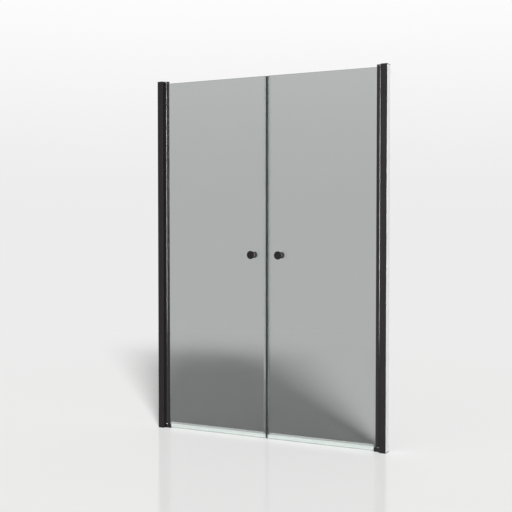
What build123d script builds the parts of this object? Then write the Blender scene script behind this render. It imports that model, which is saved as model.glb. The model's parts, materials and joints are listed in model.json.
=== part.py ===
from build123d import *
from math import sqrt
import os

# A double swing door for a shower niche, in millimetres with +Z up. X runs from
# wall to wall and Y is the depth, negative on the room side. The origin is on the
# floor, midway between the walls, in the middle plane of the glass.
# Every piece is modelled on the right-hand side and mirrored for the left.

# Overall size
overall_width = 1390.0
overall_height = 2000.0

# Wall posts: a channel screwed to the wall, and a deeper post that slides over it
post_face = 36.0
post_depth = 48.0
post_wall = 2.2
post_edge = 1.0
post_to_wall = 1.0
channel_wall = 2.0
channel_reach = 24.0
slide_gap = 0.3
wall_hole_radius = 2.75
wall_hole_margin = 120.0

# Soft strip that closes the slit between a post and the leaf's round edge
strip_base = 1.0
strip_width = 8.0
strip_bead = 0.7
strip_bead_width = 3.0
strip_gap = 0.1

# Screws on the shower side, all of one kind, each under a press-on cap
screw_radius = 2.0
screw_length = 10.0
screw_head_radius = 3.6
screw_head = 2.2
screw_head_round = 0.7
screw_recess = 4.0
screw_recess_width = 0.9
screw_recess_depth = 1.2
screw_hole_gap = 0.2
thread_gap = 0.02
screw_from_wall = 16.0
adjuster_margin = 300.0
cap_wall = 1.0
cap_gap = 0.2
cap_round = 0.8

# Top bracket and foot, which carry the leaf between two pivot pins
bracket_plate = 4.0
foot_plate = 5.0
foot_height = 23.0
foot_reach = 26.0
foot_corner = 3.0
plug_length = 24.0
plug_gap = 0.2
bracket_edge = 0.5
pin_radius = 3.0
pin_in_leaf = 20.0
pin_in_foot = 17.0
pin_head_radius = 4.5
pin_head = 1.2
pin_fit = 0.01
pin_chamfer = 0.75
washer_thickness = 1.0
washer_inset = 1.0

# Leaf profile: a round hinge edge and a clamp for the glass in one extrusion
barrel_radius = 9.0
barrel_gap = 1.0
clamp_reach = 16.5
jaw_wall = 2.4
jaw_edge = 0.8
slot_floor_from_pivot = 8.0
bush_wall = 2.45
bush_length = 18.0
bush_flange = 0.9
bush_flange_inset = 0.4
run_radial = 0.05
run_under = 0.1
run_over = 0.4
round_gap = 0.4
bottom_cap = 1.0
top_cap_below_top = 0.4

# Glass and its gasket
glass_thickness = 6.0
glass_bottom = 26.0
glass_below_top = 12.0
glass_arris = 0.6
glass_corner = 2.0
gasket_wall = 1.6
gasket_lip = 0.8
seat_gap = 0.02

# Magnet strips where the leaves meet, each in a clear clip on the glass edge
magnet_face_gap = 0.3
magnet_width = 6.4
magnet_depth = 10.0
magnet_wall = 1.0
magnet_edge = 0.8
bar_end_gap = 1.0
clip_wall = 1.0
clip_leg = 10.0
clip_hook = 1.4
clip_gap = 0.05
magnet_bottom = 5.6
magnet_below_glass_top = 2.0

# Clear bottom seal: legs up both sides of the glass, a soft hollow chamber, a fin
seal_bottom = 4.5
seal_leg = 12.0
seal_wall = 1.0
seal_fin = 9.0
seal_fin_height = 14.0
seal_fin_slope = 38.0
seal_end_gap = 0.5
seal_foot_gap = 1.5

# Knobs: a deep one on the room side and a low one on the shower side
knob_from_middle = 83.0
knob_height = 1013.0
knob_face_radius = 22.5
knob_rim = 5.0
knob_base_radius = 11.5
knob_length = 37.0
knob_dome = 0.8
knob_edge = 1.2
inner_knob_radius = 17.5
inner_knob_length = 11.0
inner_knob_edge = 2.5
knob_washer = 1.0
knob_washer_radius = 11.0
glass_hole_radius = 6.0
sleeve_gap = 0.1
sleeve_wall = 2.7
stud_radius = 3.0
stud_in_outer = 14.0
stud_in_inner = 8.0
stud_chamfer = 0.6

# Places that follow from the sizes above
wall_x = overall_width / 2
post_x = wall_x - post_face
pivot_x = post_x - barrel_gap - barrel_radius
post_half = post_depth / 2
post_top = overall_height - bracket_plate
clamp_x = pivot_x - clamp_reach
slot_width = glass_thickness + 2 * gasket_wall
clamp_thickness = slot_width + 2 * jaw_wall
slot_floor_x = pivot_x - slot_floor_from_pivot
bore_radius = pin_radius + run_radial + bush_wall
leaf_bottom = foot_height + washer_thickness + run_under + bush_flange
leaf_top = post_top - run_over - bush_flange
glass_top = overall_height - glass_below_top
glass_outer_x = slot_floor_x - gasket_wall - seat_gap
magnet_back_x = magnet_face_gap + magnet_width
clip_web_x = magnet_back_x + seat_gap
glass_inner_x = clip_web_x + clip_wall + clip_gap
clip_end_x = glass_inner_x + clip_leg
clip_inner_half = glass_thickness / 2 + clip_gap
clip_outer_half = clip_inner_half + clip_wall
screw_x = wall_x - screw_from_wall
knob_back = glass_thickness / 2 + knob_washer


def write(piece, name):
    piece.label = name
    export_step(piece, f"parts/{name}.step")


def write_pair(builder, name):
    # the left-hand piece is the right-hand one mirrored in the door's middle plane
    write(builder.part, f"right_{name}")
    with BuildPart() as other_side:
        mirror(builder.part, about=Plane.YZ)
    write(other_side.part, f"left_{name}")


def facing_shower(height):
    # a plane on the post's shower side at a screw's place, facing out of the post
    return Plane(origin=(screw_x, post_half, height), x_dir=(1, 0, 0), z_dir=(0, 1, 0))


os.makedirs("parts", exist_ok=True)

adjuster_heights = (
    adjuster_margin,
    overall_height / 2,
    overall_height - adjuster_margin,
)
foot_screw_height = foot_plate + plug_length / 2
bracket_screw_height = post_top - plug_length / 2
screw_heights = (*adjuster_heights, foot_screw_height, bracket_screw_height)

# Wall channel, open towards the door, with two pairs of holes for wall screws
channel_depth = post_depth - 2 * (post_wall + slide_gap)
outer_hole_spacing = overall_height - 2 * wall_hole_margin
inner_hole_spacing = outer_hole_spacing / 3

with BuildPart() as wall_channel:
    with BuildSketch(Plane.XY.offset(foot_plate)):
        with Locations((wall_x, 0)):
            Rectangle(channel_reach, channel_depth, align=(Align.MAX, Align.CENTER))
        with Locations((wall_x - channel_wall, 0)):
            Rectangle(
                channel_reach,
                channel_depth - 2 * channel_wall,
                align=(Align.MAX, Align.CENTER),
                mode=Mode.SUBTRACT,
            )
    extrude(amount=post_top - foot_plate)
    for spacing in (outer_hole_spacing, inner_hole_spacing):
        for height in (overall_height / 2 - spacing / 2, overall_height / 2 + spacing / 2):
            with Locations(Plane(origin=(wall_x, 0, height), z_dir=(1, 0, 0))):
                Hole(wall_hole_radius, depth=channel_wall)
    inside_post = post_wall + slide_gap
    with Locations(*[facing_shower(height).offset(-inside_post) for height in screw_heights]):
        Hole(screw_radius + thread_gap, depth=channel_wall)
write_pair(wall_channel, "wall_channel")

# Post: its closed side faces the leaf and has a groove for the soft strip
with BuildPart() as post_profile:
    with BuildSketch(Plane.XY.offset(foot_plate)) as post_section:
        with Locations((wall_x - post_to_wall, 0)):
            Rectangle(post_face - post_to_wall, post_depth, align=(Align.MAX, Align.CENTER))
        fillet(post_section.vertices().group_by(Axis.X)[0], radius=post_edge)
        with Locations((post_x + post_wall + strip_base, 0)):
            Rectangle(
                post_face,
                post_depth - 2 * post_wall,
                align=(Align.MIN, Align.CENTER),
                mode=Mode.SUBTRACT,
            )
        with Locations((post_x, 0)):
            Rectangle(
                strip_base, strip_width, align=(Align.MIN, Align.CENTER), mode=Mode.SUBTRACT
            )
    extrude(amount=post_top - foot_plate)
    with Locations(*[facing_shower(height) for height in screw_heights]):
        Hole(screw_radius + screw_hole_gap, depth=post_wall)
write_pair(post_profile, "post_profile")

# Soft strip in the groove, from the foot's top to the bracket's arm
with BuildPart() as hinge_strip:
    with BuildSketch(Plane.XY.offset(foot_height + strip_gap)):
        with Locations((post_x + strip_base, 0)):
            Rectangle(
                strip_base, strip_width - 2 * strip_gap, align=(Align.MAX, Align.CENTER)
            )
        with Locations((post_x, 0)):
            Rectangle(strip_bead, strip_bead_width, align=(Align.MAX, Align.CENTER))
    extrude(amount=post_top - foot_height - 2 * strip_gap)
write_pair(hinge_strip, "hinge_strip")


def screws(heights):
    # pan-head screws through the post's shower side, with a cross in each head
    with BuildPart() as group:
        with Locations(*[facing_shower(height) for height in heights]):
            Cylinder(screw_radius, screw_length, align=(Align.CENTER, Align.CENTER, Align.MAX))
            Cylinder(
                screw_head_radius, screw_head, align=(Align.CENTER, Align.CENTER, Align.MIN)
            )
        fillet(
            group.edges().filter_by(GeomType.CIRCLE).group_by(Axis.Y)[-1],
            radius=screw_head_round,
        )
        with Locations(*[facing_shower(height).offset(screw_head) for height in heights]):
            for turn in (0, 90):
                Box(
                    screw_recess,
                    screw_recess_width,
                    screw_recess_depth,
                    rotation=(0, 0, turn),
                    align=(Align.CENTER, Align.CENTER, Align.MAX),
                    mode=Mode.SUBTRACT,
                )
    return group


write_pair(screws(adjuster_heights), "adjusting_screws")
write_pair(screws((foot_screw_height, bracket_screw_height)), "bracket_screws")

# Press-on caps over all five screw heads of a post
cap_inner = screw_head_radius + cap_gap
with BuildPart() as screw_caps:
    with Locations(*[facing_shower(height) for height in screw_heights]):
        Cylinder(
            cap_inner + cap_wall,
            screw_head + cap_gap + cap_wall,
            align=(Align.CENTER, Align.CENTER, Align.MIN),
        )
        Cylinder(
            cap_inner,
            screw_head + cap_gap,
            align=(Align.CENTER, Align.CENTER, Align.MIN),
            mode=Mode.SUBTRACT,
        )
    fillet(
        screw_caps.edges().filter_by(GeomType.CIRCLE).group_by(Axis.Y)[-1],
        radius=cap_round,
    )
write_pair(screw_caps, "screw_caps")


def post_footprint():
    # the outline of a post's end, which a bracket plate or a foot plate covers
    with Locations((wall_x - post_to_wall, 0)):
        Rectangle(post_face - post_to_wall, post_depth, align=(Align.MAX, Align.CENTER))


def arm_footprint(half_width):
    # from the post to the pivot, ending round like the leaf's hinge edge
    with Locations((post_x, 0)):
        Rectangle(post_x - pivot_x, 2 * half_width, align=(Align.MAX, Align.CENTER))
    with Locations((pivot_x, 0)):
        Circle(barrel_radius)


def plug_footprint():
    # a block that fills the inside of the wall channel and ends at the post's web
    plug_x = post_x + post_wall + strip_base + plug_gap
    with Locations((plug_x, 0)):
        Rectangle(
            wall_x - channel_wall - plug_gap - plug_x,
            channel_depth - 2 * (channel_wall + plug_gap),
            align=(Align.MIN, Align.CENTER),
        )


def plug_screw_hole(height):
    # a tapped hole in the plug's shower side
    plug_side = channel_depth / 2 - channel_wall - plug_gap
    side = Plane(origin=(screw_x, plug_side, height), x_dir=(1, 0, 0), z_dir=(0, 1, 0))
    with Locations(side):
        Hole(screw_radius + thread_gap, depth=screw_length)


# Foot: plate under the post, block under the leaf's hinge edge, plug in the post
with BuildPart() as foot_block:
    with BuildSketch():
        post_footprint()
    extrude(amount=foot_plate)
    with BuildSketch() as foot_section:
        with Locations((pivot_x, 0)):
            Rectangle(foot_reach, clamp_thickness, align=(Align.MAX, Align.CENTER))
        fillet(foot_section.vertices().group_by(Axis.X)[0], radius=foot_corner)
        arm_footprint(clamp_thickness / 2)
    extrude(amount=foot_height)
    chamfer(foot_block.faces().group_by(Axis.Z)[-1].edges(), length=bracket_edge)
    with BuildSketch(Plane.XY.offset(foot_plate)):
        plug_footprint()
    extrude(amount=plug_length)
    with Locations((pivot_x, 0, foot_height)):
        Hole(pin_radius + pin_fit, depth=pin_in_foot)
    plug_screw_hole(foot_screw_height)
write_pair(foot_block, "foot_block")

# Top bracket: plate over the post and an arm over the leaf's hinge edge. The arm is
# narrow enough for the clamp's end cap to turn round it by a right angle.
cap_hollow = barrel_radius + round_gap
arm_half = sqrt(cap_hollow**2 - (clamp_thickness / 2) ** 2) - round_gap
with BuildPart() as top_bracket:
    with BuildSketch(Plane.XY.offset(post_top)):
        post_footprint()
        arm_footprint(arm_half)
    extrude(amount=bracket_plate)
    chamfer(top_bracket.faces().group_by(Axis.Z)[-1].edges(), length=bracket_edge)
    with BuildSketch(Plane.XY.offset(post_top)):
        plug_footprint()
    extrude(amount=-plug_length)
    with Locations((pivot_x, 0, overall_height)):
        CounterBoreHole(
            pin_radius + pin_fit, pin_head_radius + pin_fit, pin_head, depth=bracket_plate
        )
    plug_screw_hole(bracket_screw_height)
write_pair(top_bracket, "top_bracket")

# Pivot pins: the upper one hangs by its flush head, the lower one stands in the foot
with BuildPart() as top_pin:
    with Locations((pivot_x, 0, overall_height)):
        Cylinder(pin_head_radius, pin_head, align=(Align.CENTER, Align.CENTER, Align.MAX))
        Cylinder(
            pin_radius,
            bracket_plate + pin_in_leaf,
            align=(Align.CENTER, Align.CENTER, Align.MAX),
        )
    chamfer(top_pin.edges().group_by(Axis.Z)[0], length=pin_chamfer)
write_pair(top_pin, "top_pivot_pin")

with BuildPart() as foot_pin:
    with Locations((pivot_x, 0, foot_height - pin_in_foot)):
        Cylinder(
            pin_radius,
            pin_in_foot + pin_in_leaf,
            align=(Align.CENTER, Align.CENTER, Align.MIN),
        )
    chamfer(foot_pin.edges().group_by(Axis.Z)[-1], length=pin_chamfer)
write_pair(foot_pin, "foot_pivot_pin")

with BuildPart() as thrust_washer:
    with BuildSketch(Plane.XY.offset(foot_height)):
        with Locations((pivot_x, 0)):
            Circle(barrel_radius - washer_inset)
            Circle(pin_radius + run_radial, mode=Mode.SUBTRACT)
    extrude(amount=washer_thickness)
write_pair(thrust_washer, "thrust_washer")


def clamp_footprint(section):
    # the clamp's outline, from the pivot to its two rounded jaws
    with Locations((pivot_x, 0)):
        Rectangle(clamp_reach, clamp_thickness, align=(Align.MAX, Align.CENTER))
    fillet(section.vertices().group_by(Axis.X)[0], radius=jaw_edge)


# Leaf profile: bored hinge barrel and glazing clamp
with BuildPart() as leaf_profile:
    with BuildSketch(Plane.XY.offset(leaf_bottom)) as leaf_section:
        clamp_footprint(leaf_section)
        with Locations((pivot_x, 0)):
            Circle(barrel_radius)
            Circle(bore_radius, mode=Mode.SUBTRACT)
        with Locations((slot_floor_x, 0)):
            Rectangle(
                clamp_reach, slot_width, align=(Align.MAX, Align.CENTER), mode=Mode.SUBTRACT
            )
    extrude(amount=leaf_top - leaf_bottom)
write_pair(leaf_profile, "leaf_profile")


def bush(seat, outward):
    # a flanged bearing bush in one end of the hinge barrel; outward is +1 up, -1 down
    with BuildPart() as flanged:
        with BuildSketch(Plane.XY.offset(seat)):
            with Locations((pivot_x, 0)):
                Circle(barrel_radius - bush_flange_inset)
        extrude(amount=outward * bush_flange)
        with BuildSketch(Plane.XY.offset(seat)):
            with Locations((pivot_x, 0)):
                Circle(bore_radius - pin_fit)
        extrude(amount=-outward * bush_length)
        with BuildSketch(Plane.XY.offset(seat + outward * bush_flange)):
            with Locations((pivot_x, 0)):
                Circle(pin_radius + run_radial)
        extrude(amount=-outward * (bush_flange + bush_length), mode=Mode.SUBTRACT)
    return flanged


write_pair(bush(leaf_bottom, -1), "bottom_bush")
write_pair(bush(leaf_top, 1), "top_bush")


def end_cap_footprint(section):
    # the clamp's outline, cut back so that it leaves the round hinge end free
    clamp_footprint(section)
    with Locations((pivot_x, 0)):
        Circle(barrel_radius + round_gap, mode=Mode.SUBTRACT)


with BuildPart() as bottom_end_cap:
    with BuildSketch(Plane.XY.offset(leaf_bottom)) as bottom_cap_section:
        end_cap_footprint(bottom_cap_section)
    extrude(amount=-bottom_cap)
write_pair(bottom_end_cap, "bottom_end_cap")

# The upper cap stands as high as the bracket, and its tongue fills the slot's end
with BuildPart() as top_end_cap:
    with BuildSketch(Plane.XY.offset(leaf_top)) as top_cap_section:
        end_cap_footprint(top_cap_section)
    extrude(amount=overall_height - top_cap_below_top - leaf_top)
    chamfer(top_end_cap.faces().group_by(Axis.Z)[-1].edges(), length=bracket_edge)
    with BuildSketch(Plane.XY.offset(leaf_top)):
        with Locations((clamp_x + jaw_edge, 0)):
            Rectangle(
                slot_floor_x - clamp_x - jaw_edge - slide_gap,
                slot_width - 2 * slide_gap,
                align=(Align.MIN, Align.CENTER),
            )
    extrude(amount=-(leaf_top - glass_top - slide_gap))
write_pair(top_end_cap, "top_end_cap")

# Glazing gasket: a U round the glass edge, with its lips just past the jaws
with BuildPart() as glazing_gasket:
    with BuildSketch(Plane.XY.offset(leaf_bottom)):
        with Locations((slot_floor_x, 0)):
            Rectangle(
                slot_floor_x - clamp_x + gasket_lip,
                slot_width,
                align=(Align.MAX, Align.CENTER),
            )
        with Locations((slot_floor_x - gasket_wall, 0)):
            Rectangle(
                clamp_reach, glass_thickness, align=(Align.MAX, Align.CENTER), mode=Mode.SUBTRACT
            )
    extrude(amount=glass_top - leaf_bottom)
write_pair(glazing_gasket, "glazing_gasket")

# Glass, with ground edges and a hole for the knobs
glass_half = glass_thickness / 2 - seat_gap
with BuildPart() as glass:
    with BuildSketch(Plane.XZ.offset(-glass_half)):
        with Locations(((glass_inner_x + glass_outer_x) / 2, (glass_bottom + glass_top) / 2)):
            RectangleRounded(
                glass_outer_x - glass_inner_x, glass_top - glass_bottom, glass_corner
            )
        with Locations((knob_from_middle, knob_height)):
            Circle(glass_hole_radius, mode=Mode.SUBTRACT)
    extrude(amount=2 * glass_half)
    for pane_face in glass.faces().filter_by(Axis.Y):
        chamfer(pane_face.outer_wire().edges(), length=glass_arris)
write_pair(glass, "glass")

# Clear clip on the inner glass edge, hooked round the back of the magnet strip
clip_height = glass_top - magnet_below_glass_top - magnet_bottom
with BuildPart() as magnet_clip:
    with BuildSketch(Plane.XY.offset(magnet_bottom)):
        with Locations((clip_web_x, 0)):
            Rectangle(
                clip_end_x - clip_web_x, 2 * clip_outer_half, align=(Align.MIN, Align.CENTER)
            )
            Rectangle(
                clip_wall,
                magnet_depth + 2 * (clip_gap + clip_wall),
                align=(Align.MIN, Align.CENTER),
            )
            Rectangle(
                clip_hook,
                magnet_depth + 2 * (clip_gap + clip_wall),
                align=(Align.MAX, Align.CENTER),
            )
            Rectangle(
                clip_hook,
                magnet_depth + 2 * clip_gap,
                align=(Align.MAX, Align.CENTER),
                mode=Mode.SUBTRACT,
            )
        with Locations((clip_web_x + clip_wall, 0)):
            Rectangle(
                clip_end_x, 2 * clip_inner_half, align=(Align.MIN, Align.CENTER), mode=Mode.SUBTRACT
            )
    extrude(amount=clip_height)
write_pair(magnet_clip, "magnet_clip")

with BuildPart() as magnet_strip:
    with BuildSketch(Plane.XY.offset(magnet_bottom)) as magnet_section:
        with Locations((magnet_face_gap, 0)):
            Rectangle(magnet_width, magnet_depth, align=(Align.MIN, Align.CENTER))
        fillet(magnet_section.vertices().group_by(Axis.X)[0], radius=magnet_edge)
        with Locations((magnet_face_gap + magnet_wall, 0)):
            Rectangle(
                magnet_width - 2 * magnet_wall,
                magnet_depth - 2 * magnet_wall,
                align=(Align.MIN, Align.CENTER),
                mode=Mode.SUBTRACT,
            )
    extrude(amount=clip_height)
write_pair(magnet_strip, "magnet_strip")

# Magnet bar inside each strip
with BuildPart() as magnet_bar:
    with BuildSketch(Plane.XY.offset(magnet_bottom + bar_end_gap)):
        with Locations((magnet_face_gap + magnet_wall + seat_gap, 0)):
            Rectangle(
                magnet_width - 2 * (magnet_wall + seat_gap),
                magnet_depth - 2 * (magnet_wall + seat_gap),
                align=(Align.MIN, Align.CENTER),
            )
    extrude(amount=clip_height - 2 * bar_end_gap)
write_pair(magnet_bar, "magnet_bar")

# Bottom seal, from the magnet clip to just clear of the foot's round reach
seal_inner_x = clip_end_x + seal_end_gap
seal_outer_x = pivot_x - foot_reach - seal_foot_gap
seal_half = clip_inner_half + seal_wall
seal_web_top = glass_bottom - clip_gap
with BuildPart() as bottom_seal:
    with BuildSketch(Plane.YZ.offset(seal_inner_x)):
        with Locations((0, seal_web_top - seal_wall)):
            Rectangle(
                2 * seal_half, seal_leg + seal_wall, align=(Align.CENTER, Align.MIN)
            )
            Rectangle(
                2 * seal_half,
                seal_web_top - seal_wall - seal_bottom - seal_half,
                align=(Align.CENTER, Align.MAX),
            )
        with Locations((0, seal_bottom + seal_half)):
            Circle(seal_half)
        with Locations((seal_half - seal_wall, seal_fin_height)):
            Rectangle(
                seal_fin, seal_wall, rotation=-seal_fin_slope, align=(Align.MIN, Align.CENTER)
            )
        with Locations((0, seal_web_top)):
            Rectangle(
                2 * clip_inner_half,
                seal_leg + seal_wall,
                align=(Align.CENTER, Align.MIN),
                mode=Mode.SUBTRACT,
            )
        with Locations((0, seal_web_top - seal_wall)):
            Rectangle(
                2 * (seal_half - seal_wall),
                seal_web_top - seal_wall - seal_bottom - seal_half,
                align=(Align.CENTER, Align.MAX),
                mode=Mode.SUBTRACT,
            )
        with Locations((0, seal_bottom + seal_half)):
            Circle(seal_half - seal_wall, mode=Mode.SUBTRACT)
    extrude(amount=seal_outer_x - seal_inner_x)
write_pair(bottom_seal, "bottom_seal")

# Knobs, turned about an axis through the glass
knob_plane = Plane(origin=(knob_from_middle, 0, knob_height))
knob_axis = Axis((knob_from_middle, 0, knob_height), (0, 1, 0))
through_glass = Plane(
    origin=(knob_from_middle, 0, knob_height), x_dir=(1, 0, 0), z_dir=(0, 1, 0)
)
knob_front = -knob_back - knob_length

with BuildPart() as outer_knob:
    with BuildSketch(knob_plane) as knob_section:
        with BuildLine():
            Line((0, knob_front), (0, -knob_back))
            Line((0, -knob_back), (knob_base_radius, -knob_back))
            Line((knob_base_radius, -knob_back), (knob_face_radius, knob_front + knob_rim))
            Line(
                (knob_face_radius, knob_front + knob_rim),
                (knob_face_radius, knob_front + knob_dome),
            )
            TangentArc(
                (0, knob_front), (knob_face_radius, knob_front + knob_dome), tangent=(1, 0)
            )
        make_face()
        fillet(knob_section.vertices().group_by(Axis.X)[-1], radius=knob_edge)
    revolve(axis=knob_axis)
    with Locations(through_glass.offset(-knob_back)):
        Cylinder(
            stud_radius + thread_gap,
            stud_in_outer,
            align=(Align.CENTER, Align.CENTER, Align.MAX),
            mode=Mode.SUBTRACT,
        )
write_pair(outer_knob, "outer_knob")

with BuildPart() as inner_knob:
    with Locations(through_glass.offset(knob_back)):
        Cylinder(
            inner_knob_radius, inner_knob_length, align=(Align.CENTER, Align.CENTER, Align.MIN)
        )
    fillet(inner_knob.edges().group_by(Axis.Y)[-1], radius=inner_knob_edge)
    with Locations(through_glass.offset(knob_back)):
        Cylinder(
            stud_radius + thread_gap,
            stud_in_inner,
            align=(Align.CENTER, Align.CENTER, Align.MIN),
            mode=Mode.SUBTRACT,
        )
write_pair(inner_knob, "inner_knob")

stud_ends = 2 * knob_back + stud_in_outer + stud_in_inner - 2 * screw_hole_gap
with BuildPart() as knob_stud:
    with Locations(through_glass.offset(-knob_back - stud_in_outer + screw_hole_gap)):
        Cylinder(stud_radius, stud_ends, align=(Align.CENTER, Align.CENTER, Align.MIN))
    chamfer(knob_stud.edges().filter_by(GeomType.CIRCLE), length=stud_chamfer)
write_pair(knob_stud, "knob_stud")

with BuildPart() as knob_washers:
    with Locations(
        through_glass.offset(glass_thickness / 2 + knob_washer / 2),
        through_glass.offset(-glass_thickness / 2 - knob_washer / 2),
    ):
        Cylinder(knob_washer_radius, knob_washer)
        Cylinder(glass_hole_radius, knob_washer, mode=Mode.SUBTRACT)
write_pair(knob_washers, "knob_washers")

sleeve_radius = glass_hole_radius - sleeve_gap
with BuildPart() as knob_sleeve:
    with Locations(through_glass):
        Cylinder(sleeve_radius, glass_thickness)
        Cylinder(sleeve_radius - sleeve_wall, glass_thickness, mode=Mode.SUBTRACT)
write_pair(knob_sleeve, "knob_sleeve")
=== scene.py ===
import bpy
import bmesh
import json
from math import asin, cos, degrees, pi, radians, sin, tan
from mathutils import Matrix, Vector
from mathutils.geometry import tessellate_polygon

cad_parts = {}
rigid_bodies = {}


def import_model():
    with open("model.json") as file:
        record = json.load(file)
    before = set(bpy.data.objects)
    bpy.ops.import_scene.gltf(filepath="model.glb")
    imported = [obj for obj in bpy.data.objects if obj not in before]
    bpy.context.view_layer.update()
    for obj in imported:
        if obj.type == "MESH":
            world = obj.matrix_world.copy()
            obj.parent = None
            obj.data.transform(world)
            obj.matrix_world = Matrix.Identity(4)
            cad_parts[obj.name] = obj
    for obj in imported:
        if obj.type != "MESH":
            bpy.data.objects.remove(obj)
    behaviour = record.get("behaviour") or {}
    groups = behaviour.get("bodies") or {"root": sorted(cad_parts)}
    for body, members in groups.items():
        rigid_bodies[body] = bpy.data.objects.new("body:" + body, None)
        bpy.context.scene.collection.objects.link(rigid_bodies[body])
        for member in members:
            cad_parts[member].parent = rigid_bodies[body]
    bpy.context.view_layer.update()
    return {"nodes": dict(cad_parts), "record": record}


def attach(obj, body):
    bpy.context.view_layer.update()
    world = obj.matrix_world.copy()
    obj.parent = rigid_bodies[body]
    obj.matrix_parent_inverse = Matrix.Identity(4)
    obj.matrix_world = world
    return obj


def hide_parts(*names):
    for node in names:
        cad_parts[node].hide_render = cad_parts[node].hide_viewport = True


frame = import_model()
nodes = frame["nodes"]
print("frame loaded:", len(nodes), "nodes")

# The photograph's viewpoint
cameraView = {
    "lens": 66.57,
    "sensor": 36.0,
    "place": (2.3284, -4.6261, 1.1809),
    "turn": (88.084, 0.0, 27.393),
}
cameraData = bpy.data.cameras.new("photoCamera")
cameraData.lens = cameraView["lens"]
cameraData.sensor_width = cameraView["sensor"]
camera = bpy.data.objects.new("photoCamera", cameraData)
camera.location = cameraView["place"]
camera.rotation_euler = [radians(angle) for angle in cameraView["turn"]]
bpy.context.scene.collection.objects.link(camera)
bpy.context.scene.camera = camera
bpy.context.scene.view_settings.view_transform = "Standard"
print("camera placed")


def addNode(tree, kind, inputs=None, **settings):
    made = tree.nodes.new(kind)
    for key, value in settings.items():
        setattr(made, key, value)
    for key, value in (inputs or {}).items():
        if isinstance(value, bpy.types.NodeSocket):
            tree.links.new(value, made.inputs[key])
        else:
            made.inputs[key].default_value = value
    return made


def seenDirectly(tree):
    # 1 where the camera looks, straight or by way of metal and glass, else 0
    path = addNode(tree, "ShaderNodeLightPath")
    either = addNode(
        tree,
        "ShaderNodeMath",
        {0: path.outputs["Is Camera Ray"], 1: path.outputs["Is Glossy Ray"]},
        operation="MAXIMUM",
    )
    direct = addNode(
        tree,
        "ShaderNodeMath",
        {0: either.outputs[0], 1: path.outputs["Is Transmission Ray"]},
        operation="MAXIMUM",
    )
    unscattered = addNode(
        tree, "ShaderNodeMath", {0: path.outputs["Diffuse Depth"], 1: 0.5}, operation="LESS_THAN"
    )
    return addNode(
        tree,
        "ShaderNodeMath",
        {0: direct.outputs[0], 1: unscattered.outputs[0]},
        operation="MULTIPLY",
    ).outputs[0]


# Lengths are in metres; hazeFrom and hazeTo are heights on the sky, 0 at the horizon
studio = {
    "ambient": 0.18,
    "haze": 0.84,
    "hazeFrom": 0.0,
    "hazeTo": 0.3,
    "background": (1.0, 1.0, 1.0, 1.0),
    "floorColour": (0.82, 0.82, 0.815, 1.0),
    "floorLift": 0.15,
    "floorGloss": 0.1,
    "floorShine": 0.13,
    "floorSize": 60.0,
    "fadeFrom": 2.2,
    "fadeTo": 5.5,
    "frontPlace": (2.6, -7.4, 2.8),
    "frontSize": (5.0, 4.0),
    "frontPower": 520.0,
    "glintPlace": (2.05, -4.6, 1.25),
    "glintSize": (0.9, 4.2),
    "glintPower": 1050.0,
    "sidePlace": (4.8, -1.3, 1.6),
    "sideSize": (2.4, 2.4),
    "sidePower": 80.0,
    "softEdge": 0.3,
    "sunTurn": (25.0, 35.0),
    "sunAngle": 14.0,
    "sunStrength": 5.0,
    "sunDistance": 8.0,
    "aim": (0.0, 0.0, 1.0),
}

world = bpy.data.worlds.new("studio")
bpy.context.scene.world = world
world.use_nodes = True
tree = world.node_tree
tree.nodes.clear()
lightAmount = addNode(
    tree,
    "ShaderNodeMapRange",
    {"Value": seenDirectly(tree), "To Min": studio["ambient"], "To Max": 1.0},
)
skyPlace = addNode(tree, "ShaderNodeTexCoord")
skySplit = addNode(tree, "ShaderNodeSeparateXYZ", {0: skyPlace.outputs["Generated"]})
skyRise = addNode(
    tree,
    "ShaderNodeMapRange",
    {
        "Value": skySplit.outputs["Z"],
        "From Min": studio["hazeFrom"],
        "From Max": studio["hazeTo"],
        "To Min": studio["haze"],
        "To Max": 1.0,
    },
    interpolation_type="SMOOTHSTEP",
)
skyAmount = addNode(
    tree, "ShaderNodeMath", {0: lightAmount.outputs[0], 1: skyRise.outputs[0]}, operation="MULTIPLY"
)
sky = addNode(
    tree,
    "ShaderNodeBackground",
    {"Color": studio["background"], "Strength": skyAmount.outputs[0]},
)
addNode(tree, "ShaderNodeOutputWorld", {"Surface": sky.outputs[0]})

floorMesh = bmesh.new()
bmesh.ops.create_grid(floorMesh, x_segments=4, y_segments=4, size=studio["floorSize"] / 2)
floorData = bpy.data.meshes.new("floor")
floorMesh.to_mesh(floorData)
floorMesh.free()
floor = bpy.data.objects.new("floor", floorData)
bpy.context.scene.collection.objects.link(floor)
floorMaterial = bpy.data.materials.new("paleFloor")
floorMaterial.use_nodes = True
tree = floorMaterial.node_tree
tree.nodes.clear()
floorDull = addNode(tree, "ShaderNodeBsdfDiffuse", {"Color": studio["floorColour"]})
floorShiny = addNode(tree, "ShaderNodeBsdfGlossy", {"Roughness": studio["floorGloss"]})
floorShader = addNode(
    tree,
    "ShaderNodeMixShader",
    {0: studio["floorShine"], 1: floorDull.outputs[0], 2: floorShiny.outputs[0]},
)
floorPlace = addNode(tree, "ShaderNodeTexCoord")
floorReach = addNode(
    tree, "ShaderNodeVectorMath", {0: floorPlace.outputs["Object"]}, operation="LENGTH"
)
fade = addNode(
    tree,
    "ShaderNodeMapRange",
    {
        "Value": floorReach.outputs["Value"],
        "From Min": studio["fadeFrom"],
        "From Max": studio["fadeTo"],
    },
    interpolation_type="SMOOTHSTEP",
)
fadeShare = addNode(
    tree, "ShaderNodeMath", {0: fade.outputs[0], 1: seenDirectly(tree)}, operation="MULTIPLY"
)
glow = addNode(
    tree, "ShaderNodeEmission", {"Color": studio["background"], "Strength": studio["haze"]}
)
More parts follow.
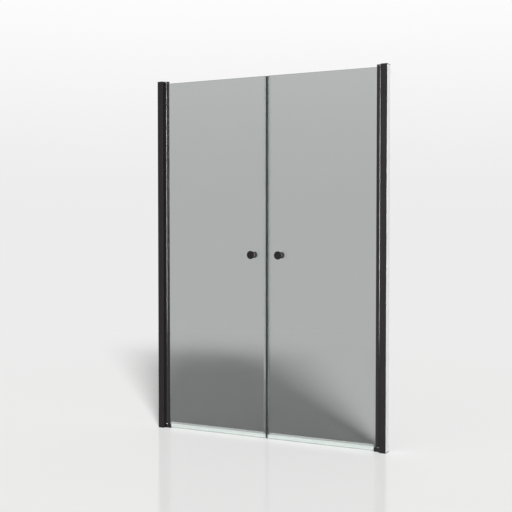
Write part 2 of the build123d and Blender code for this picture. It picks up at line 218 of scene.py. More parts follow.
# The floor is a little paler to the eye than to the light that it throws back
lift = addNode(
    tree,
    "ShaderNodeMath",
    {0: seenDirectly(tree), 1: studio["floorLift"]},
    operation="MULTIPLY",
)
liftColour = addNode(
    tree, "ShaderNodeCombineColor", {channel: lift.outputs[0] for channel in range(3)}
)
lifted = addNode(
    tree,
    "ShaderNodeAddShader",
    {
        0: floorShader.outputs[0],
        1: addNode(tree, "ShaderNodeBsdfDiffuse", {"Color": liftColour.outputs[0]}).outputs[0],
    },
)
floorMix = addNode(
    tree,
    "ShaderNodeMixShader",
    {0: fadeShare.outputs[0], 1: lifted.outputs[0], 2: glow.outputs[0]},
)
addNode(tree, "ShaderNodeOutputMaterial", {"Surface": floorMix.outputs[0]})
floorData.materials.append(floorMaterial)


def addSoftbox(name, place, size, power):
    # a lamp that is bright in the middle and fades to nothing at its rim
    light = bpy.data.lights.new(name, "AREA")
    light.shape = "RECTANGLE"
    light.size, light.size_y = size
    light.energy = power
    light.use_nodes = True
    tree = light.node_tree
    emission = tree.nodes["Emission"]
    spot = addNode(tree, "ShaderNodeNewGeometry")
    split = addNode(tree, "ShaderNodeSeparateXYZ", {0: spot.outputs["Parametric"]})
    shares = []
    for axis in ("X", "Y"):
        fromCentre = addNode(
            tree, "ShaderNodeMath", {0: split.outputs[axis], 1: 0.5}, operation="SUBTRACT"
        )
        apart = addNode(tree, "ShaderNodeMath", {0: fromCentre.outputs[0]}, operation="ABSOLUTE")
        share = addNode(
            tree,
            "ShaderNodeMapRange",
            {
                "Value": apart.outputs[0],
                "From Min": 0.5,
                "From Max": 0.5 - studio["softEdge"],
            },
            interpolation_type="SMOOTHSTEP",
        )
        shares.append(share.outputs[0])
    both = addNode(tree, "ShaderNodeMath", {0: shares[0], 1: shares[1]}, operation="MULTIPLY")
    tree.links.new(both.outputs[0], emission.inputs["Strength"])
    lamp = bpy.data.objects.new(name, light)
    lamp.location = place
    towards = Vector(studio["aim"]) - lamp.location
    lamp.rotation_euler = towards.to_track_quat("-Z", "Y").to_euler()
    lamp.visible_camera = False
    lamp.visible_transmission = False
    bpy.context.scene.collection.objects.link(lamp)
    return lamp


frontLamp = addSoftbox(
    "frontLight", studio["frontPlace"], studio["frontSize"], studio["frontPower"]
)
frontLamp.visible_glossy = False
sideLamp = addSoftbox("sideLight", studio["sidePlace"], studio["sideSize"], studio["sidePower"])
glintLamp = addSoftbox(
    "glintLight", studio["glintPlace"], studio["glintSize"], studio["glintPower"]
)
glintLamp.visible_diffuse = False
sunHeight, sunSide = studio["sunTurn"]
sunLight = bpy.data.lights.new("sunLight", "SUN")
sunLight.energy = studio["sunStrength"]
sunLight.angle = radians(studio["sunAngle"])
sunLamp = bpy.data.objects.new("sunLight", sunLight)
sunFrom = Vector(
    (
        sin(radians(sunSide)) * cos(radians(sunHeight)),
        -cos(radians(sunSide)) * cos(radians(sunHeight)),
        sin(radians(sunHeight)),
    )
)
sunLamp.location = sunFrom * studio["sunDistance"]
sunLamp.rotation_euler = sunFrom.to_track_quat("Z", "Y").to_euler()
sunLamp.visible_camera = False
sunLamp.visible_transmission = False
sunLamp.visible_glossy = False
bpy.context.scene.collection.objects.link(sunLamp)
print("studio lit")

# Colours from the body to its mottle and to worn edges; grain is cycles per metre,
# relief is its depth in metres, and stretch draws it out along the bar
finishes = {
    "blackProfile": {
        "colour": (0.0105, 0.009, 0.0096),
        "mottle": (0.0135, 0.0117, 0.0124),
        "worn": (0.035, 0.032, 0.032),
        "rough": (0.38, 0.5),
        "shine": 0.1,
        "grain": 1500.0,
        "relief": 0.00003,
        "stretch": (1.0, 1.0, 0.25),
    },
    "blackLeaf": {
        "colour": (0.0075, 0.0066, 0.007),
        "mottle": (0.01, 0.0088, 0.0093),
        "worn": (0.035, 0.033, 0.033),
        "rough": (0.12, 0.17),
        "shine": 0.34,
        "grain": 1300.0,
        "relief": 0.000012,
        "stretch": (1.0, 1.0, 0.01),
    },
    "blackCasting": {
        "colour": (0.0045, 0.004, 0.0042),
        "mottle": (0.0065, 0.0058, 0.006),
        "worn": (0.02, 0.019, 0.019),
        "rough": (0.2, 0.3),
        "shine": 0.28,
        "grain": 1100.0,
        "relief": 0.00006,
        "stretch": (1.0, 1.0, 1.0),
    },
    "blackKnob": {
        "colour": (0.0085, 0.007, 0.0076),
        "mottle": (0.011, 0.0092, 0.0099),
        "worn": (0.035, 0.032, 0.032),
        "rough": (0.3, 0.4),
        "shine": 0.12,
        "grain": 1600.0,
        "relief": 0.00001,
        "stretch": (1.0, 1.0, 1.0),
        "turned": True,
    },
    # The grey here is a painted reflection: the knob is black, and its neck is painted grey for
    # bright light mirrored in it
    "knobNeckPaintedReflection": {
        "colour": (0.2, 0.197, 0.2),
        "mottle": (0.22, 0.217, 0.22),
        "worn": (0.22, 0.22, 0.22),
        "rough": (0.36, 0.46),
        "shine": 0.3,
        "grain": 1600.0,
        "relief": 0.00001,
        "stretch": (1.0, 1.0, 1.0),
        "turned": True,
    },
    # The grey here is a painted reflection: the inner knob is black, and its side and rim are
    # painted grey for bright light mirrored in them
    "innerKnobSidePaintedReflection": {
        "colour": (0.4, 0.396, 0.4),
        "mottle": (0.44, 0.436, 0.44),
        "worn": (0.42, 0.416, 0.42),
        "rough": (0.34, 0.44),
        "shine": 0.3,
        "grain": 1600.0,
        "relief": 0.00001,
        "stretch": (1.0, 1.0, 1.0),
        "turned": True,
    },
    "channelMetal": {
        "colour": (0.79, 0.795, 0.8),
        "mottle": (0.85, 0.855, 0.86),
        "worn": (0.9, 0.9, 0.905),
        "rough": (0.26, 0.4),
        "shine": 0.5,
        "grain": 900.0,
        "relief": 0.00002,
        "stretch": (1.0, 1.0, 0.01),
        "metal": 1.0,
    },
    "steel": {
        "colour": (0.54, 0.54, 0.55),
        "mottle": (0.62, 0.62, 0.62),
        "worn": (0.7, 0.7, 0.7),
        "rough": (0.2, 0.34),
        "shine": 0.5,
        "grain": 1400.0,
        "relief": 0.00001,
        "stretch": (1.0, 1.0, 1.0),
        "metal": 1.0,
    },
    "blackPlastic": {
        "colour": (0.0125, 0.012, 0.0122),
        "mottle": (0.017, 0.0162, 0.0165),
        "worn": (0.035, 0.034, 0.034),
        "rough": (0.48, 0.62),
        "shine": 0.28,
        "grain": 1800.0,
        "relief": 0.00005,
        "stretch": (1.0, 1.0, 1.0),
    },
    "bearingPlastic": {
        "colour": (0.7, 0.69, 0.66),
        "mottle": (0.76, 0.75, 0.72),
        "worn": (0.8, 0.79, 0.76),
        "rough": (0.4, 0.52),
        "shine": 0.5,
        "grain": 1500.0,
        "relief": 0.00002,
        "stretch": (1.0, 1.0, 1.0),
    },
    "blackRubber": {
        "colour": (0.011, 0.011, 0.0112),
        "mottle": (0.016, 0.016, 0.0162),
        "worn": (0.03, 0.03, 0.03),
        "rough": (0.6, 0.78),
        "shine": 0.25,
        "grain": 1200.0,
        "relief": 0.00006,
        "stretch": (1.0, 1.0, 0.06),
    },
    "magnetSleeve": {
        "colour": (0.008, 0.008, 0.0085),
        "mottle": (0.012, 0.012, 0.0125),
        "worn": (0.03, 0.03, 0.03),
        "rough": (0.42, 0.56),
        "shine": 0.25,
        "grain": 1200.0,
        "relief": 0.00003,
        "stretch": (1.0, 1.0, 0.03),
    },
    "magnetBar": {
        "colour": (0.045, 0.04, 0.04),
        "mottle": (0.065, 0.055, 0.052),
        "worn": (0.09, 0.08, 0.075),
        "rough": (0.6, 0.8),
        "shine": 0.3,
        "grain": 1000.0,
        "relief": 0.00005,
        "stretch": (1.0, 1.0, 0.2),
    },
}
finishOfSlot = {
    "black_profile": "blackProfile",
    "channel_metal": "channelMetal",
    "black_casting": "blackCasting",
    "black_knob": "blackKnob",
    "steel": "steel",
    "black_plastic": "blackPlastic",
    "bearing_plastic": "bearingPlastic",
    "black_rubber": "blackRubber",
    "black_magnet_seal": "magnetSleeve",
    "magnet_core": "magnetBar",
}


grainLook = {
    "grainDetail": 3.0,
    "patchScale": 14.0,
    "patchDetail": 5.0,
    "patchRough": 0.6,
    "scuffScale": 160.0,
    "scuffDetail": 4.0,
    "scuffRough": 0.7,
    "soiledFrom": 0.12,
    "soiledTo": 0.4,
    "edgeReach": 0.0006,
    "edgeFrom": 0.99,
    "edgeTo": 0.8,
    "edgeSamples": 6,
}
knobLook = {
    "fromMiddle": 0.083,
    "height": 1.013,
    "ringsPerMetre": 14000.0,
}


def startMaterial(name):
    material = bpy.data.materials.new(name)
    material.use_nodes = True
    material.node_tree.nodes.clear()
    return material, material.node_tree


def mixColours(tree, share, first, second):
    mixed = addNode(tree, "ShaderNodeMix", data_type="RGBA")
    tree.links.new(share, mixed.inputs["Factor"])
    for socket, value in ((mixed.inputs["A"], first), (mixed.inputs["B"], second)):
        if isinstance(value, bpy.types.NodeSocket):
            tree.links.new(value, socket)
        else:
            socket.default_value = (*value, 1.0)
    return mixed.outputs["Result"]


def edgeShare(tree):
    # how much a surface turns away near an edge
    rounded = addNode(
        tree,
        "ShaderNodeBevel",
        {"Radius": grainLook["edgeReach"]},
        samples=grainLook["edgeSamples"],
    )
    geometry = addNode(tree, "ShaderNodeNewGeometry")
    turn = addNode(
        tree,
        "ShaderNodeVectorMath",
        {0: rounded.outputs[0], 1: geometry.outputs["True Normal"]},
        operation="DOT_PRODUCT",
    )
    return addNode(
        tree,
        "ShaderNodeMapRange",
        {
            "Value": turn.outputs["Value"],
            "From Min": grainLook["edgeFrom"],
            "From Max": grainLook["edgeTo"],
        },
    ).outputs[0]


def turnedHeight(tree, place):
    # fine rings round each knob's axis, as a lathe leaves them
    split = addNode(tree, "ShaderNodeSeparateXYZ", {0: place})
    fromMiddle = addNode(tree, "ShaderNodeMath", {0: split.outputs["X"]}, operation="ABSOLUTE")
    across = addNode(
        tree,
        "ShaderNodeMath",
        {0: fromMiddle.outputs[0], 1: knobLook["fromMiddle"]},
        operation="SUBTRACT",
    )
    up = addNode(
        tree, "ShaderNodeMath", {0: split.outputs["Z"], 1: knobLook["height"]}, operation="SUBTRACT"
    )
    flat = addNode(tree, "ShaderNodeCombineXYZ", {"X": across.outputs[0], "Y": up.outputs[0]})
    away = addNode(tree, "ShaderNodeVectorMath", {0: flat.outputs[0]}, operation="LENGTH")
    rings = addNode(
        tree,
        "ShaderNodeMath",
        {0: away.outputs["Value"], 1: knobLook["ringsPerMetre"]},
        operation="MULTIPLY",
    )
    return addNode(tree, "ShaderNodeMath", {0: rings.outputs[0]}, operation="SINE").outputs[0]


def makeFinish(name):
    look = finishes[name]
    material, tree = startMaterial(name)
    place = addNode(tree, "ShaderNodeTexCoord").outputs["Object"]
    stretched = addNode(
        tree, "ShaderNodeVectorMath", {0: place, 1: look["stretch"]}, operation="MULTIPLY"
    )
    grain = addNode(
        tree,
        "ShaderNodeTexNoise",
        {
            "Vector": stretched.outputs[0],
            "Scale": look["grain"],
            "Detail": grainLook["grainDetail"],
        },
    )
    patches = addNode(
        tree,
        "ShaderNodeTexNoise",
        {
            "Vector": place,
            "Scale": grainLook["patchScale"],
            "Detail": grainLook["patchDetail"],
            "Roughness": grainLook["patchRough"],
        },
    )
    scuffs = addNode(
        tree,
        "ShaderNodeTexNoise",
        {
            "Vector": place,
            "Scale": grainLook["scuffScale"],
            "Detail": grainLook["scuffDetail"],
            "Roughness": grainLook["scuffRough"],
        },
    )
    wear = addNode(
        tree,
        "ShaderNodeMath",
        {0: edgeShare(tree), 1: scuffs.outputs[0]},
        operation="MULTIPLY",
    )
    body = mixColours(tree, patches.outputs[0], look["colour"], look["mottle"])
    colour = mixColours(tree, wear.outputs[0], body, look["worn"])
    soiled = addNode(
        tree, "ShaderNodeMath", {0: patches.outputs[0], 1: grain.outputs[0]}, operation="MULTIPLY"
    )
    rough = addNode(
        tree,
        "ShaderNodeMapRange",
        {
            "Value": soiled.outputs[0],
            "From Min": grainLook["soiledFrom"],
            "From Max": grainLook["soiledTo"],
            "To Min": look["rough"][0],
            "To Max": look["rough"][1],
        },
    )
    height = turnedHeight(tree, place) if look.get("turned") else grain.outputs[0]
    bump = addNode(
        tree, "ShaderNodeBump", {"Height": height, "Distance": look["relief"], "Strength": 1.0}
    )
    shader = addNode(
        tree,
        "ShaderNodeBsdfPrincipled",
        {
            "Base Color": colour,
            "Roughness": rough.outputs[0],
            "Metallic": look.get("metal", 0.0),
            "Specular IOR Level": look["shine"],
            "Normal": bump.outputs[0],
        },
    )
    addNode(tree, "ShaderNodeOutputMaterial", {"Surface": shader.outputs[0]})
    return material


def letLampsThrough(tree, shader, tint):
    # lamps light what is behind the clear piece, dimmed by its own colour
    path = addNode(tree, "ShaderNodeLightPath")
    opening = addNode(tree, "ShaderNodeBsdfTransparent", {"Color": (*tint, 1.0)})
    both = addNode(
        tree,
        "ShaderNodeMixShader",
        {0: path.outputs["Is Shadow Ray"], 1: shader, 2: opening.outputs[0]},
    )
    addNode(tree, "ShaderNodeOutputMaterial", {"Surface": both.outputs[0]})


# The panes are grey through their faces and green through their cut edges, which lie
# between faceDepth and edgeDepth from the middle plane of the closed door
glassLook = {
    "tint": (0.475, 0.494, 0.487),
    "tintDeep": (0.465, 0.486, 0.478),
    "edge": (0.1, 0.19, 0.16),
    "faceDepth": 0.00297,
    "edgeDepth": 0.0029,
    "lampTint": (0.3, 0.31, 0.305),
    "ior": 1.5,
    "waveScale": 5.0,
    "waveDepth": 0.00002,
}


def makeGlass():
    material, tree = startMaterial("tintedGlass")
    place = addNode(tree, "ShaderNodeTexCoord").outputs["Object"]
    split = addNode(tree, "ShaderNodeSeparateXYZ", {0: place})
    depth = addNode(tree, "ShaderNodeMath", {0: split.outputs["Y"]}, operation="ABSOLUTE")
    onEdge = addNode(
        tree,
        "ShaderNodeMapRange",
        {
            "Value": depth.outputs[0],
            "From Min": glassLook["faceDepth"],
            "From Max": glassLook["edgeDepth"],
        },
    )
    waves = addNode(
        tree, "ShaderNodeTexNoise", {"Vector": place, "Scale": glassLook["waveScale"], "Detail": 1.0}
    )
    pane = mixColours(tree, waves.outputs[0], glassLook["tint"], glassLook["tintDeep"])
    colour = mixColours(tree, onEdge.outputs[0], pane, glassLook["edge"])
    bump = addNode(
        tree,
        "ShaderNodeBump",
        {"Height": waves.outputs[0], "Distance": glassLook["waveDepth"], "Strength": 1.0},
    )
    shader = addNode(
        tree,
        "ShaderNodeBsdfPrincipled",
        {
            "Base Color": colour,
            "Roughness": 0.0,
            "IOR": glassLook["ior"],
            "Transmission Weight": 1.0,
            "Normal": bump.outputs[0],
        },
    )
    letLampsThrough(tree, shader.outputs[0], glassLook["lampTint"])
    return material


clipLook = {
    "colour": (0.93, 0.955, 0.945),
    "haze": (0.86, 0.9, 0.885),
    "lampTint": (0.8, 0.83, 0.82),
    "rough": (0.05, 0.12),
    "clear": 1.0,
    "ior": 1.45,
    "waveScale": 90.0,
    "waveDepth": 0.00012,
}
sealLook = {
    "colour": (0.93, 0.965, 0.95),
    "haze": (0.87, 0.92, 0.9),
    "lampTint": (0.62, 0.65, 0.64),
    "rough": (0.07, 0.14),
    "clear": 0.82,
    "ior": 1.45,
    "waveScale": 90.0,
    "waveDepth": 0.00012,
}


def makeClearSoft(name, look):
    material, tree = startMaterial(name)
    place = addNode(tree, "ShaderNodeTexCoord").outputs["Object"]
    waves = addNode(
        tree, "ShaderNodeTexNoise", {"Vector": place, "Scale": look["waveScale"], "Detail": 3.0}
    )
    colour = mixColours(tree, waves.outputs[0], look["colour"], look["haze"])
    rough = addNode(
        tree,
        "ShaderNodeMapRange",
        {"Value": waves.outputs[0], "To Min": look["rough"][0], "To Max": look["rough"][1]},
    )
    bump = addNode(
        tree,
        "ShaderNodeBump",
        {"Height": waves.outputs[0], "Distance": look["waveDepth"], "Strength": 1.0},
    )
    shader = addNode(
        tree,
        "ShaderNodeBsdfPrincipled",
        {
            "Base Color": colour,
            "Roughness": rough.outputs[0],
            "IOR": look["ior"],
            "Transmission Weight": look["clear"],
            "Normal": bump.outputs[0],
        },
    )
    letLampsThrough(tree, shader.outputs[0], look["lampTint"])
    return material


looks = {slot: makeFinish(name) for slot, name in finishOfSlot.items()}
looks["tinted_glass"] = makeGlass()
looks["clear_seal"] = makeClearSoft("clearClip", clipLook)
sealMilky = makeClearSoft("milkySeal", sealLook)
leafBlack = makeFinish("blackLeaf")
# two grey finishes that paint a reflection onto the black knobs
neckPaintedReflection = makeFinish("knobNeckPaintedReflection")
innerSidePaintedReflection = makeFinish("innerKnobSidePaintedReflection")
for part in frame["record"]["subparts"]:
    node = nodes[part["node"]]
    node.data.materials.clear()
    node.data.materials.append(looks[part["material_slot"]])
print("finishes made")

# Shapes below are drawn for the right-hand leaf in millimetres, as in the CAD
millimetre = 0.001


def arcPoints(centre, radius, start, end, steps):
    turns = [radians(start + (end - start) * step / steps) for step in range(steps + 1)]
    return [(centre[0] + radius * cos(turn), centre[1] + radius * sin(turn)) for turn in turns]


def roundedLoop(corners, steps=5):
    # corners are (x, y, radius); each is rounded off by an arc that touches both sides
    loop = []
    for index, (x, y, radius) in enumerate(corners):
        here = Vector((x, y))
        before = Vector(corners[index - 1][:2]) - here
        after = Vector(corners[(index + 1) % len(corners)][:2]) - here
        if radius == 0:
            loop.append((x, y))
            continue
        halfAngle = before.angle(after) / 2
        middle = (before.normalized() + after.normalized()).normalized()
        centre = here + middle * (radius / sin(halfAngle))
        first = here + before.normalized() * (radius / tan(halfAngle)) - centre
        last = here + after.normalized() * (radius / tan(halfAngle)) - centre
        sweep = first.angle_signed(last)
        for step in range(steps + 1):
            spoke = first.copy()
            spoke.rotate(Matrix.Rotation(-sweep * step / steps, 2))
            loop.append(tuple(centre + spoke))
    return loop


def drawBar(shape, loops, stations, along):
    # an outline and its holes drawn out through the stations along X or Z
    place = {
        "X": lambda point, at: (at, point[0], point[1]),
        "Z": lambda point, at: (point[0], point[1], at),
    }[along]
    sections = [
        [[shape.verts.new(place(point, at)) for point in loop] for loop in loops]
        for at in stations
    ]
    flat = [[Vector((*point, 0.0)) for point in loop] for loop in loops]
    for triangle in tessellate_polygon(flat):
        for section in (sections[0], sections[-1]):
            corners = [vert for ring in section for vert in ring]
            shape.faces.new([corners[index] for index in triangle])
    for lowSection, highSection in zip(sections, sections[1:]):
        for lowRing, highRing in zip(lowSection, highSection):
            for index in range(len(lowRing)):
                shape.faces.new(
                    (lowRing[index - 1], lowRing[index], highRing[index], highRing[index - 1])
                )


def turnShape(shape, profile, centre, segments=96):
    # profile is (radius, y) from one end to the other, turned about an axis along Y
    rings = []
    for radius, along in profile:
        if radius == 0:
            rings.append([shape.verts.new((centre[0], along, centre[1]))])
            continue
        turns = [2 * pi * index / segments for index in range(segments)]
        rings.append(
            [
                shape.verts.new(
                    (centre[0] + radius * cos(turn), along, centre[1] + radius * sin(turn))
                )
                for turn in turns
            ]
        )
    for near, far in zip(rings, rings[1:]):
        for index in range(segments):
            corners = []
            for ring in (near, far):
                pair = [ring[index - 1], ring[index]] if len(ring) > 1 else [ring[0]]
                corners.extend(pair if ring is near else pair[::-1])
            shape.faces.new(corners)


def addPair(name, drawRight, look, creases=32.0):
    # the right-hand piece as drawn, and the left-hand one mirrored
    made = []
    for side, across in (("right", 1), ("left", -1)):
        shape = bmesh.new()
        drawRight(shape)
        scale = (across * millimetre, millimetre, millimetre)
        bmesh.ops.scale(shape, vec=scale, verts=shape.verts)
        bmesh.ops.recalc_face_normals(shape, faces=shape.faces)
        data = bpy.data.meshes.new(side + name)
        shape.to_mesh(data)
        shape.free()
        data.polygons.foreach_set("use_smooth", [True] * len(data.polygons))
        data.set_sharp_from_angle(angle=radians(creases))
        data.materials.append(look)
        piece = bpy.data.objects.new(side + name, data)
        bpy.context.scene.collection.objects.link(piece)
        made.append((side, piece))
    return made


leafShape = {
    "pivot": 649.0,
    "barrelRadius": 9.0,
    "boreRadius": 5.5,
    "clampEnd": 632.5,
    "clampHalf": 7.0,
    "jawRound": 0.8,
    "slotFloor": 641.0,
    "slotHalf": 4.6,
    "slotRound": 0.3,
    "bottom": 25.0,
    "top": 1994.7,
    "barrelSteps": 56,
}


def drawLeafProfile(shape):
    size = leafShape
    meet = degrees(asin(size["clampHalf"] / size["barrelRadius"]))
    barrel = arcPoints(
        (size["pivot"], 0), size["barrelRadius"], meet - 180, 180 - meet, size["barrelSteps"]
    )
    corners = [(*point, 0) for point in barrel]
    corners += [
        (size["clampEnd"], size["clampHalf"], size["jawRound"]),
        (size["clampEnd"], size["slotHalf"], size["slotRound"]),
        (size["slotFloor"], size["slotHalf"], size["slotRound"]),
        (size["slotFloor"], -size["slotHalf"], size["slotRound"]),
        (size["clampEnd"], -size["slotHalf"], size["slotRound"]),
        (size["clampEnd"], -size["clampHalf"], size["jawRound"]),
    ]
    bore = arcPoints((size["pivot"], 0), size["boreRadius"], 0, 360, size["barrelSteps"])[:-1]
    drawBar(shape, [roundedLoop(corners), bore], (size["bottom"], size["top"]), "Z")


for side, piece in addPair("LeafProfile", drawLeafProfile, leafBlack):
    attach(piece, f"{side}_leaf")
    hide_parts(f"{side}_leaf_profile")

gasketShape = {
    "lipEnd": 631.7,
    "floor": 640.98,
    "half": 4.58,
    "glassHalf": 3.0,
    "glassEdge": 639.4,
    "lipRound": 0.65,
    "floorRound": 0.4,
    "edgeRound": 0.2,
    "bottom": 25.0,
    "top": 1988.0,
}


def drawGasket(shape):
    size = gasketShape
    loop = roundedLoop(
        [
            (size["lipEnd"], -size["half"], size["lipRound"]),
            (size["floor"], -size["half"], size["floorRound"]),
            (size["floor"], size["half"], size["floorRound"]),
            (size["lipEnd"], size["half"], size["lipRound"]),
            (size["lipEnd"], size["glassHalf"], size["lipRound"]),
            (size["glassEdge"], size["glassHalf"], size["edgeRound"]),
            (size["glassEdge"], -size["glassHalf"], size["edgeRound"]),
            (size["lipEnd"], -size["glassHalf"], size["lipRound"]),
        ]
    )
    drawBar(shape, [loop], (size["bottom"], size["top"]), "Z")


for side, piece in addPair("GlazingGasket", drawGasket, looks["black_rubber"]):
    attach(piece, f"{side}_leaf")
    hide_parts(f"{side}_glazing_gasket")

hingeStripShape = {
    "back": 660.0,
    "face": 659.0,
    "half": 3.9,
    "beadFace": 658.3,
    "beadHalf": 1.5,
    "cornerRound": 0.2,
    "beadRoot": 0.1,
    "beadRound": 0.55,
    "bottom": 23.1,
    "top": 1995.9,
}


def drawHingeStrip(shape):
    size = hingeStripShape
    loop = roundedLoop(
        [
            (size["back"], -size["half"], size["cornerRound"]),
            (size["back"], size["half"], size["cornerRound"]),
            (size["face"], size["half"], size["cornerRound"]),
            (size["face"], size["beadHalf"], size["beadRoot"]),
            (size["beadFace"], size["beadHalf"], size["beadRound"]),
            (size["beadFace"], -size["beadHalf"], size["beadRound"]),
            (size["face"], -size["beadHalf"], size["beadRoot"]),
            (size["face"], -size["half"], size["cornerRound"]),
        ]
    )
    drawBar(shape, [loop], (size["bottom"], size["top"]), "Z")


for side, piece in addPair("HingeStrip", drawHingeStrip, looks["black_rubber"]):
    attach(piece, "frame")
    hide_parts(f"{side}_hinge_strip")

magnetStripShape = {
    "face": 0.3,
    "back": 6.7,
    "half": 5.0,
    "wall": 1.0,
    "faceRound": 0.8,
    "backRound": 0.25,
    "hollowRound": 0.02,
    "grooves": (-2.6, 2.6),
    "grooveDepth": 0.18,
    "grooveHalf": 0.35,
    "bottom": 5.6,
    "top": 1986.0,
}


def drawMagnetStrip(shape):
    size = magnetStripShape
    corners = [
        (size["face"], -size["half"], size["faceRound"]),
        (size["back"], -size["half"], size["backRound"]),
        (size["back"], size["half"], size["backRound"]),
        (size["face"], size["half"], size["faceRound"]),
    ]
    for middle in reversed(size["grooves"]):
        corners += [
            (size["face"], middle + size["grooveHalf"], 0),
            (size["face"] + size["grooveDepth"], middle, 0),
            (size["face"], middle - size["grooveHalf"], 0),
        ]
    inner, outer = size["face"] + size["wall"], size["back"] - size["wall"]
    half = size["half"] - size["wall"]
    hollowCorners = ((inner, -half), (outer, -half), (outer, half), (inner, half))
    hollow = roundedLoop([(*corner, size["hollowRound"]) for corner in hollowCorners], 1)
    drawBar(shape, [roundedLoop(corners), hollow], (size["bottom"], size["top"]), "Z")


for side, piece in addPair("MagnetStrip", drawMagnetStrip, looks["black_magnet_seal"]):
    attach(piece, f"{side}_leaf")
    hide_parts(f"{side}_magnet_strip")

clipShape = {
    "hook": 5.32,
    "webFace": 6.72,
    "webBack": 7.72,
    "legEnd": 17.77,
    "legInner": 3.05,
    "legOuter": 4.05,
    "hookInner": 5.05,
    "hookOuter": 6.05,
    "legRoot": 0.25,
    "legRound": 0.42,
    "hookRoot": 0.35,
    "hookBack": 0.5,
    "hookRound": 0.35,
    "webRound": 0.1,
    "bottom": 5.6,
    "glassBottom": 26.0,
    "top": 1986.0,
}


def drawClip(shape):
    size = clipShape
    half = [
        (size["webBack"], size["legInner"], size["legRoot"]),
        (size["legEnd"], size["legInner"], size["legRound"]),
        (size["legEnd"], size["legOuter"], size["legRound"]),
        (size["webBack"], size["legOuter"], size["hookRoot"]),
        (size["webBack"], size["hookOuter"], size["hookBack"]),
        (size["hook"], size["hookOuter"], size["hookRound"]),
        (size["hook"], size["hookInner"], size["hookRound"]),
        (size["webFace"], size["hookInner"], size["webRound"]),
    ]
    otherHalf = [(x, -y, radius) for x, y, radius in reversed(half)]
    stations = (size["bottom"], size["glassBottom"], size["top"])
    drawBar(shape, [roundedLoop(half + otherHalf)], stations, "Z")


def clearOverGlass(piece):
    # the soft plastic is clear on the glass and milky below its edge
    piece.data.materials.append(sealMilky)
    for face in piece.data.polygons:
        if face.center.z < clipShape["glassBottom"] * millimetre:
            face.material_index = 1


for side, piece in addPair("MagnetClip", drawClip, looks["clear_seal"]):
    clearOverGlass(piece)
    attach(piece, f"{side}_leaf")
    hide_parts(f"{side}_magnet_clip")

bottomSealShape = {
    "inner": 18.27,
    "outer": 621.5,
    "legInner": 3.05,
    "legOuter": 4.05,
    "legTop": 37.95,
    "webTop": 25.95,
    "webBottom": 24.95,
    "roundCentre": 8.55,
    "finRoot": (3.05, 14.0),
    "finLength": 9.0,
    "finWall": 1.0,
    "finSlope": 38.0,
    "finTip": 0.45,
    "rootRound": 0.3,
    "legRound": 0.42,
    "arcSteps": 24,
}


def drawBottomSeal(shape):
    size = bottomSealShape
    outer = size["legOuter"]
    slope = radians(size["finSlope"])
    along = Vector((cos(slope), -sin(slope)))
    upward = Vector((sin(slope), cos(slope))) * size["finWall"] / 2
    root = Vector(size["finRoot"])
    tip = root + along * size["finLength"]
    finSides = []
    for side in (-1, 1):
        edge = root + upward * side
        edge += along * ((outer - edge.x) / along.x)
        finSides.append(edge)
    chamberBottom = arcPoints((0, size["roundCentre"]), outer, 180, 360, size["arcSteps"])
    corners = [(*point, 0) for point in chamberBottom]
    corners += [
        (*finSides[0], size["rootRound"]),
        (*(tip - upward), size["finTip"]),
        (*(tip + upward), size["finTip"]),
        (*finSides[1], size["rootRound"]),
        (outer, size["legTop"], size["legRound"]),
        (size["legInner"], size["legTop"], size["legRound"]),
        (size["legInner"], size["webTop"], size["rootRound"]),
        (-size["legInner"], size["webTop"], size["rootRound"]),
        (-size["legInner"], size["legTop"], size["legRound"]),
        (-outer, size["legTop"], size["legRound"]),
    ]
    chamber = arcPoints(
        (0, size["roundCentre"]), size["legInner"], 180, 360, size["arcSteps"]
    )
    chamberCorners = [(*point, 0) for point in chamber]
    chamberCorners += [
        (size["legInner"], size["webBottom"], size["rootRound"]),
        (-size["legInner"], size["webBottom"], size["rootRound"]),
    ]
    loops = [roundedLoop(corners), roundedLoop(chamberCorners)]
    drawBar(shape, loops, (size["inner"], size["outer"]), "X")


for side, piece in addPair("BottomSeal", drawBottomSeal, looks["clear_seal"]):
    clearOverGlass(piece)
    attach(piece, f"{side}_leaf")
    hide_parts(f"{side}_bottom_seal")
print("profiles and seals built")

outerKnobShape = {
    "centre": (83.0, 1013.0),
    "back": -4.0,
    "baseRadius": 11.5,
    "faceRadius": 22.5,
    "rimBack": -36.0,
    "front": -41.0,
    "dome": 0.8,
    "edge": 1.2,
    "baseRound": 0.5,
    "grooveFrom": -34.6,
    "grooveDepth": 0.5,
    "grooveStep": 0.2,
    "grooveEnd": 0.1,
    "grooveRound": 0.1,
    "boreRadius": 3.05,
    "boreDepth": 14.2,
    "boreRound": 0.15,
    "neckRound": 0.2,
    "rimRound": 0.5,
    "domeRings": 10,
}
innerKnobShape = {
    "back": 4.0,
    "radius": 17.5,
    "front": 15.0,
    "edge": 2.5,
    "baseRound": 0.6,
    "dish": 0.35,
    "dishRim": 0.4,
    "dishSlope": 0.6,
    "dishRound": 0.3,
    "edgeSteps": 8,
    "sideTo": 14.7,
}


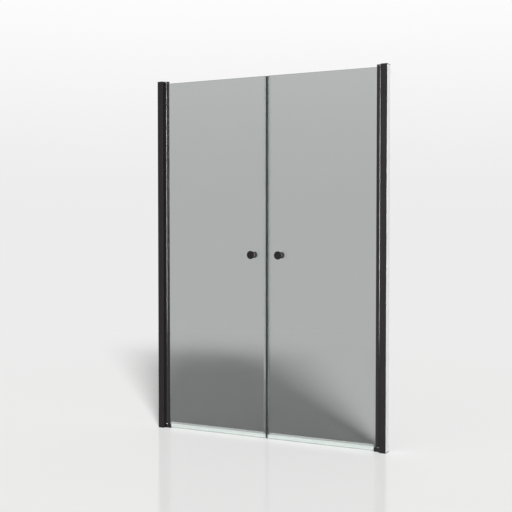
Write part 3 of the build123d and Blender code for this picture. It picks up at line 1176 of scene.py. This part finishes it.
def drawOuterKnob(shape):
    size = outerKnobShape
    run = size["rimBack"] - size["back"]
    lean = (size["faceRadius"] - size["baseRadius"]) / run
    grooveRadius = size["baseRadius"] + lean * (size["grooveFrom"] - size["back"])
    grooveFloor = grooveRadius - size["grooveDepth"]
    boreEnd = size["back"] - size["boreDepth"]
    side = [
        (size["boreRadius"], boreEnd, 0),
        (size["boreRadius"], size["back"], size["boreRound"]),
        (size["baseRadius"], size["back"], size["baseRound"]),
        (grooveRadius, size["grooveFrom"], size["neckRound"]),
        (grooveFloor, size["grooveFrom"] - size["grooveStep"], size["grooveRound"]),
        (grooveFloor, size["rimBack"] + size["grooveEnd"], size["grooveRound"]),
        (size["faceRadius"], size["rimBack"], size["rimRound"]),
        (size["faceRadius"], size["front"] + size["dome"], size["edge"]),
    ]
    domeRadius = size["faceRadius"] ** 2 / (2 * size["dome"])
    loop = roundedLoop([(0.0, boreEnd, 0), *side, (0.0, size["front"], 0)])
    turned = [point for point in loop if point[0] > 0]
    faceEdge = turned[-1]
    dome = []
    for ring in range(1, size["domeRings"] + 1):
        radius = faceEdge[0] * (1 - ring / size["domeRings"])
        rise = (faceEdge[0] ** 2 - radius**2) / (2 * domeRadius)
        dome.append((radius, faceEdge[1] - rise))
    turnShape(shape, [(0.0, boreEnd), *turned, *dome], size["centre"])


def drawInnerKnob(shape):
    size = innerKnobShape
    rimRadius = size["radius"] - size["edge"] - size["dishRim"]
    dishFloor = size["front"] - size["dish"]
    corners = [
        (0.0, dishFloor, 0),
        (rimRadius - size["dishSlope"], dishFloor, size["dishRound"]),
        (rimRadius, size["front"], size["dishRound"]),
        (size["radius"], size["front"], size["edge"]),
        (size["radius"], size["back"], size["baseRound"]),
        (0.0, size["back"], 0),
    ]
    turnShape(shape, roundedLoop(corners, size["edgeSteps"]), outerKnobShape["centre"])


for side, piece in addPair("OuterKnob", drawOuterKnob, looks["black_knob"]):
    # the neck faces, from the base to the groove, take the grey of the painted reflection
    piece.data.materials.append(neckPaintedReflection)
    for face in piece.data.polygons:
        if face.center.y > outerKnobShape["grooveFrom"] * millimetre:
            face.material_index = 1
    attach(piece, f"{side}_leaf")
    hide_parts(f"{side}_outer_knob")
for side, piece in addPair("InnerKnob", drawInnerKnob, looks["black_knob"]):
    # the side and rim faces, short of the front dish, take the grey of the painted reflection
    piece.data.materials.append(innerSidePaintedReflection)
    for face in piece.data.polygons:
        if face.center.y < innerKnobShape["sideTo"] * millimetre:
            face.material_index = 1
    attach(piece, f"{side}_leaf")
    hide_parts(f"{side}_inner_knob")
print("knobs turned")

# The narrow lamp draws the highlights on dark and metal pieces, never on glass or floor,
# and the two wide lamps light the door without the floor
glossyPieces = bpy.data.collections.new("glossyPieces")
allPieces = bpy.data.collections.new("allPieces")
for thing in bpy.context.scene.objects:
    if thing.type == "MESH" and thing != floor:
        allPieces.objects.link(thing)
        finishNames = {look.name for look in thing.data.materials}
        if not {"tintedGlass", "clearClip"} & finishNames:
            glossyPieces.objects.link(thing)
glintLamp.light_linking.receiver_collection = glossyPieces
frontLamp.light_linking.receiver_collection = allPieces
sideLamp.light_linking.receiver_collection = allPieces
print("lamps linked")
